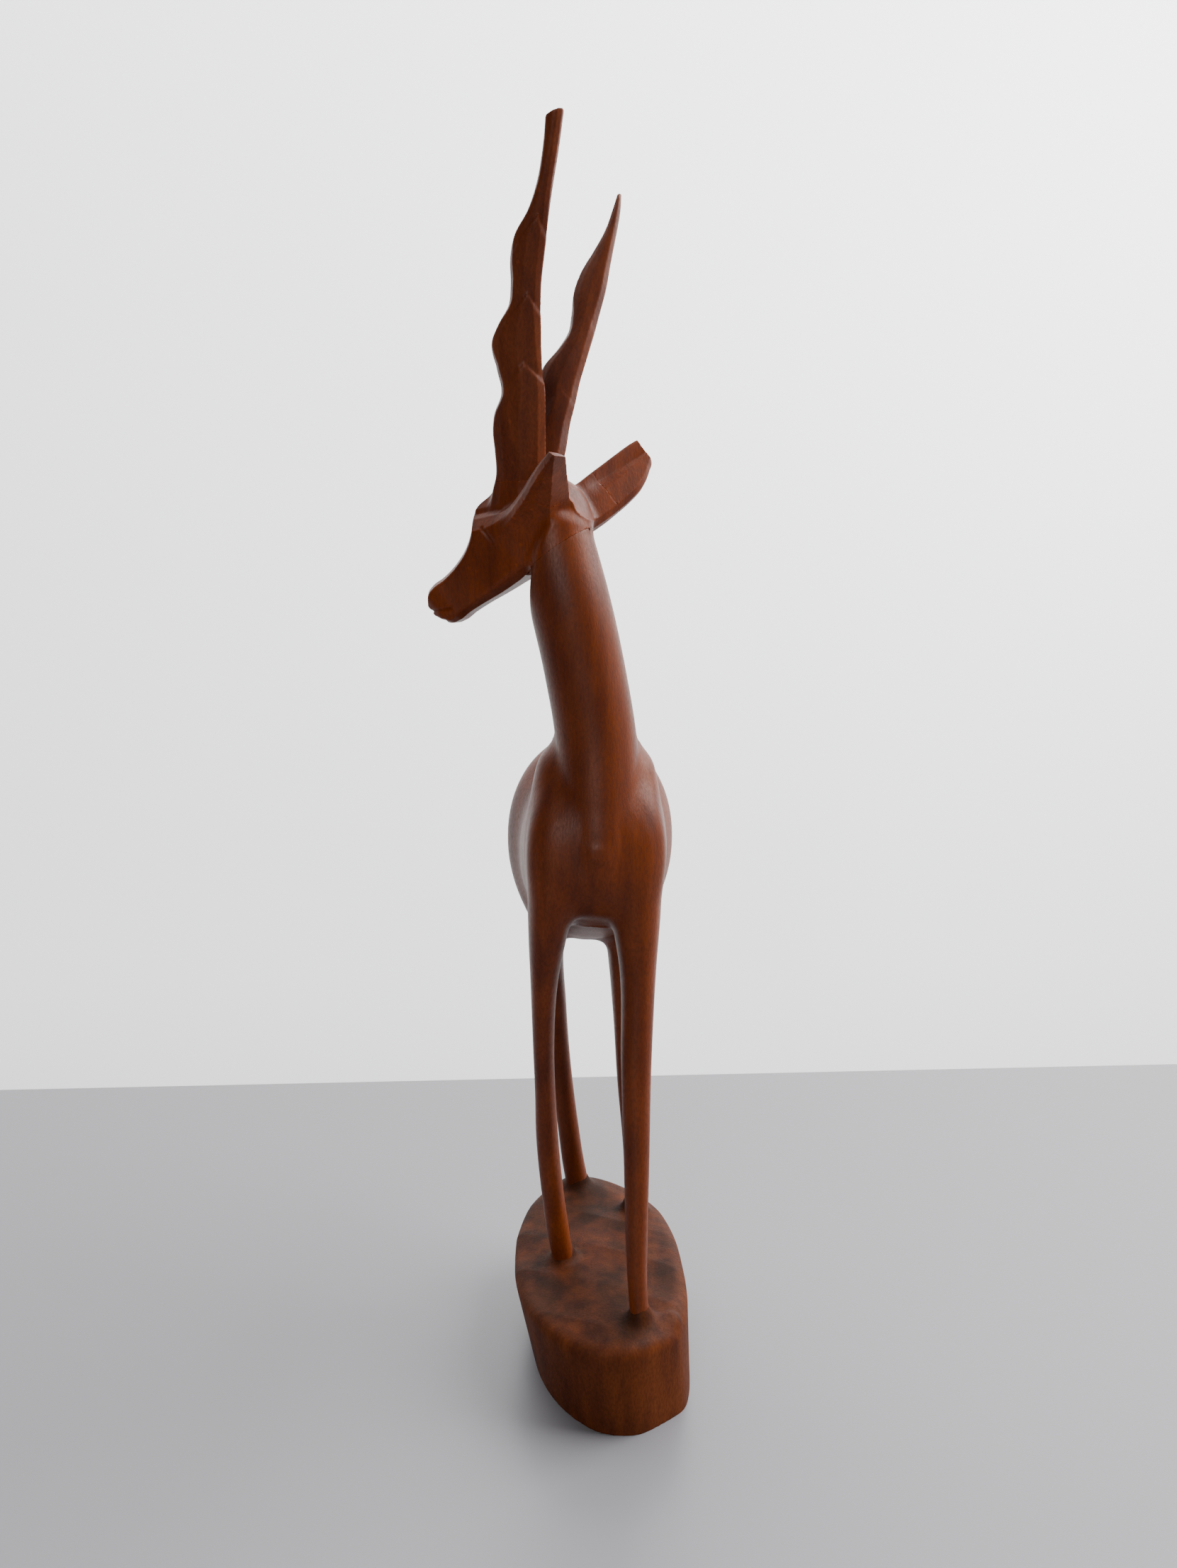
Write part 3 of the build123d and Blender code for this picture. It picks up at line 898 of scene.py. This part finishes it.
def carved_wood(name, dark, light, roughness, shine, bump, wear_and_hollow_shade=0.0, soiled_above=None):
    """Hardwood in two browns with bands, patches and pores, rubbed paler on its edges, darker in its
    hollows and cuts with painted shade, and soiled on top.
    """
    material = bpy.data.materials.new(name)
    material.use_nodes = True
    tree = material.node_tree
    tree.nodes.clear()
    place = add_node(tree, "ShaderNodeTexCoord").outputs["Object"]
    patterns = [FIGURE, PATCHES, PORES] + ([DIRT] if soiled_above else [])
    noises = []
    for across_mm, along_mm, detail in patterns:
        per_metre = (1 / (across_mm * MM), 1 / (across_mm * MM), 1 / (along_mm * MM))
        stretched = add_node(tree, "ShaderNodeMapping", {"Vector": place}, Scale=per_metre)
        noise = add_node(tree, "ShaderNodeTexNoise", {"Vector": stretched.outputs[0]},
                         Scale=1.0, Detail=detail)
        noises.append(noise.outputs["Fac"])
    figure, patches, pores = noises[:3]

    mixed = add_node(tree, "ShaderNodeMath", {0: figure, 1: patches}, operation="ADD")
    tone = add_node(tree, "ShaderNodeMapRange", {"Value": mixed.outputs[0]}, From_Min=0.72, From_Max=1.28)
    base = add_node(tree, "ShaderNodeMix", {"Factor": tone.outputs[0]}, data_type="RGBA")
    base.inputs[6].default_value = linear(dark)
    base.inputs[7].default_value = linear(light)
    fleck = add_node(tree, "ShaderNodeMapRange", {"Value": pores},
                     From_Min=0.34, From_Max=0.60, To_Min=0.82, To_Max=1.06)
    wood = add_node(tree, "ShaderNodeMix", {6: base.outputs[2], 7: fleck.outputs[0]},
                    data_type="RGBA", blend_type="MULTIPLY", Factor=1.0)
    # Tone by curvature: convex ridges paler, like rubbed wood, and hollows, grooves and knife cuts darker,
    # which is painted shade.
    if wear_and_hollow_shade:
        shape = add_node(tree, "ShaderNodeNewGeometry").outputs["Pointiness"]
        edge = add_node(tree, "ShaderNodeMapRange", {"Value": shape},
                        From_Min=0.42, From_Max=0.58, To_Min=1 - wear_and_hollow_shade, To_Max=1 + wear_and_hollow_shade)
        wood = add_node(tree, "ShaderNodeMix", {6: wood.outputs[2], 7: edge.outputs[0]},
                        data_type="RGBA", blend_type="MULTIPLY", Factor=1.0)
    if soiled_above:
        height = add_node(tree, "ShaderNodeSeparateXYZ", {"Vector": place}).outputs["Z"]
        settled = add_node(tree, "ShaderNodeMapRange", {"Value": height},
                           From_Min=(soiled_above - DIRT_FADE) * MM, From_Max=soiled_above * MM)
        mottled = add_node(tree, "ShaderNodeMapRange", {"Value": noises[3]},
                           From_Min=0.36, From_Max=0.60, To_Min=0.35)
        share = add_node(tree, "ShaderNodeMath", {0: settled.outputs[0], 1: mottled.outputs[0]},
                         operation="MULTIPLY")
        wood = add_node(tree, "ShaderNodeMix", {"Factor": share.outputs[0], 6: wood.outputs[2]},
                        data_type="RGBA", blend_type="MULTIPLY")
        wood.inputs[7].default_value = linear(DIRT_TINT)

    polish = add_node(tree, "ShaderNodeMapRange", {"Value": pores},
                      To_Min=roughness + 0.14, To_Max=roughness - 0.10)
    lift = add_node(tree, "ShaderNodeBump", {"Height": pores}, Strength=bump, Distance=PORE_DEPTH)
    shader = add_node(tree, "ShaderNodeBsdfPrincipled", {
        "Base Color": wood.outputs[2], "Roughness": polish.outputs[0], "Normal": lift.outputs[0]})
    shader.inputs["Specular IOR Level"].default_value = shine
    add_node(tree, "ShaderNodeOutputMaterial", {"Surface": shader.outputs[0]})
    return material


# Sanded smooth and oiled: an even satin with broad, soft highlights over warm bands.
body_wood = carved_wood("sanded_oiled_mahogany", "461904", "5e2807", 0.45, 0.18, 0.25)
# Cut with a knife and oiled without sanding: flat facets, a crisper gleam, edges rubbed paler and painted
# shade in the hollows and cuts.
head_wood = carved_wood("knife_cut_oiled_mahogany", "471903", "622908", 0.42, 0.16, 0.25, wear_and_hollow_shade=0.25)
# The same knife work in darker heartwood: deep brown facets with a weaker gleam, paler edges and painted
# shade in the cuts.
horn_wood = carved_wood("knife_cut_dark_mahogany", "451b09", "5c2a11", 0.44, 0.13, 0.25, wear_and_hollow_shade=0.25)
# Chiselled, dull and handled: a rough block that hardly shines, paler on its edges, with painted shade in
# its gouges and grey dirt settled on its top.
plinth_wood = carved_wood("dull_rough_mahogany", "391708", "53270d", 0.62, 0.08, 0.5,
                          wear_and_hollow_shade=0.2, soiled_above=34.0)
# Whittled sapwood, never oiled: pale, dry and matt, and hidden inside the joints.
peg_wood = carved_wood("whittled_pale_peg", "b08a58", "c9a878", 0.6, 0.3, 0.3)

# Each carved piece with the frame's node that it stands for, its wood and its slot
PIECES = [
    (body, "body", body_wood, "body_wood"),
    (head, "head", head_wood, "head_wood"),
    (left_horn, "left_horn", horn_wood, "horn_wood"),
    (right_horn, "right_horn", horn_wood, "horn_wood"),
    (left_ear, "left_ear", head_wood, "head_wood"),
    (right_ear, "right_ear", head_wood, "head_wood"),
    (plinth, "plinth", plinth_wood, "plinth_wood"),
]
for piece, node, wood, slot in PIECES:
    piece.data.materials.append(wood)
    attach(piece, "root")
    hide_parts(node)

# The pegs and the dowel keep the frame's own shapes
for name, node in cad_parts.items():
    if "peg" in name or "dowel" in name:
        node.data.materials.clear()
        node.data.materials.append(peg_wood)


# ---------------------------------------------------------------- floor, light and camera

TABLE_REACH = 2.0       # metres, to either side and in front
TABLE_EDGE = 0.226      # far edge of the table, behind the plinth
WALL_PLACE = 0.8        # far enough behind the table that a view from behind has room
WALL_REACH = 3.0
WALL_LOW, WALL_HIGH = -1.5, 2.5


def surface(name, corners, colour, roughness, glow=0.0):
    """Flat staging surface, with a little light of its own where the room brightens it."""
    mesh = bpy.data.meshes.new(name)
    mesh.from_pydata(corners, [], [(0, 1, 2, 3)])
    board = bpy.data.objects.new(name, mesh)
    bpy.context.scene.collection.objects.link(board)
    material = bpy.data.materials.new(name)
    material.use_nodes = True
    shader = material.node_tree.nodes["Principled BSDF"]
    shader.inputs["Base Color"].default_value = linear(colour)
    shader.inputs["Roughness"].default_value = roughness
    shader.inputs["Emission Color"].default_value = linear(colour)
    shader.inputs["Emission Strength"].default_value = glow
    mesh.materials.append(material)


# Painted table top, wiped smooth: plain grey with a faint sheen towards its far edge
surface("table_top", [(-TABLE_REACH, -TABLE_REACH, 0), (TABLE_REACH, -TABLE_REACH, 0),
                      (TABLE_REACH, TABLE_EDGE, 0), (-TABLE_REACH, TABLE_EDGE, 0)], "6d6c6f", 0.34)
# Matt white emulsion on a sunlit wall: flat, bright and without a gleam
surface("wall", [(-WALL_REACH, WALL_PLACE, WALL_LOW), (WALL_REACH, WALL_PLACE, WALL_LOW),
                 (WALL_REACH, WALL_PLACE, WALL_HIGH), (-WALL_REACH, WALL_PLACE, WALL_HIGH)],
        "f4f4f5", 0.95, 1.2)


def area_light(name, place, target, size, power, colour):
    """Soft square light that looks at a point; metres and watts."""
    light = bpy.data.lights.new(name, "AREA")
    light.shape = "SQUARE"
    light.size = size
    light.energy = power
    light.color = linear(colour)[:3]
    lamp = bpy.data.objects.new(name, light)
    bpy.context.scene.collection.objects.link(lamp)
    way = Vector(target) - Vector(place)
    lamp.matrix_world = Matrix.Translation(place) @ way.to_track_quat("-Z", "Y").to_matrix().to_4x4()


area_light("window", (0.85, 0.05, 0.95), (0, 0.1, 0.15), 1.0, 50, "ffffff")
area_light("room", (-0.38, -1.5, 0.62), (0, 0, 0.2), 0.4, 14, "ffffff")
area_light("wall_wash", (-0.2, 0.35, 1.5), (0, 0.8, 0.30), 0.9, 20, "ffffff")

# Faint light from all round, as pale walls give
world = bpy.data.worlds.new("room")
bpy.context.scene.world = world
world.use_nodes = True
world.node_tree.nodes["Background"].inputs[0].default_value = linear("f2f2f4")
world.node_tree.nodes["Background"].inputs[1].default_value = 0.10

LENS_MM = 27.05
CAMERA_PLACE = (-0.0243, -0.3873, 0.273)
CAMERA_YAW = radians(3.0)
CAMERA_PITCH = radians(10.0)
camera_data = bpy.data.cameras.new("camera")
camera_data.lens = LENS_MM
camera_data.sensor_width = 36.0
camera = bpy.data.objects.new("camera", camera_data)
bpy.context.scene.collection.objects.link(camera)
camera.location = CAMERA_PLACE
camera.rotation_euler = (radians(90) - CAMERA_PITCH, 0, -CAMERA_YAW)
bpy.context.scene.camera = camera

bpy.context.view_layer.update()
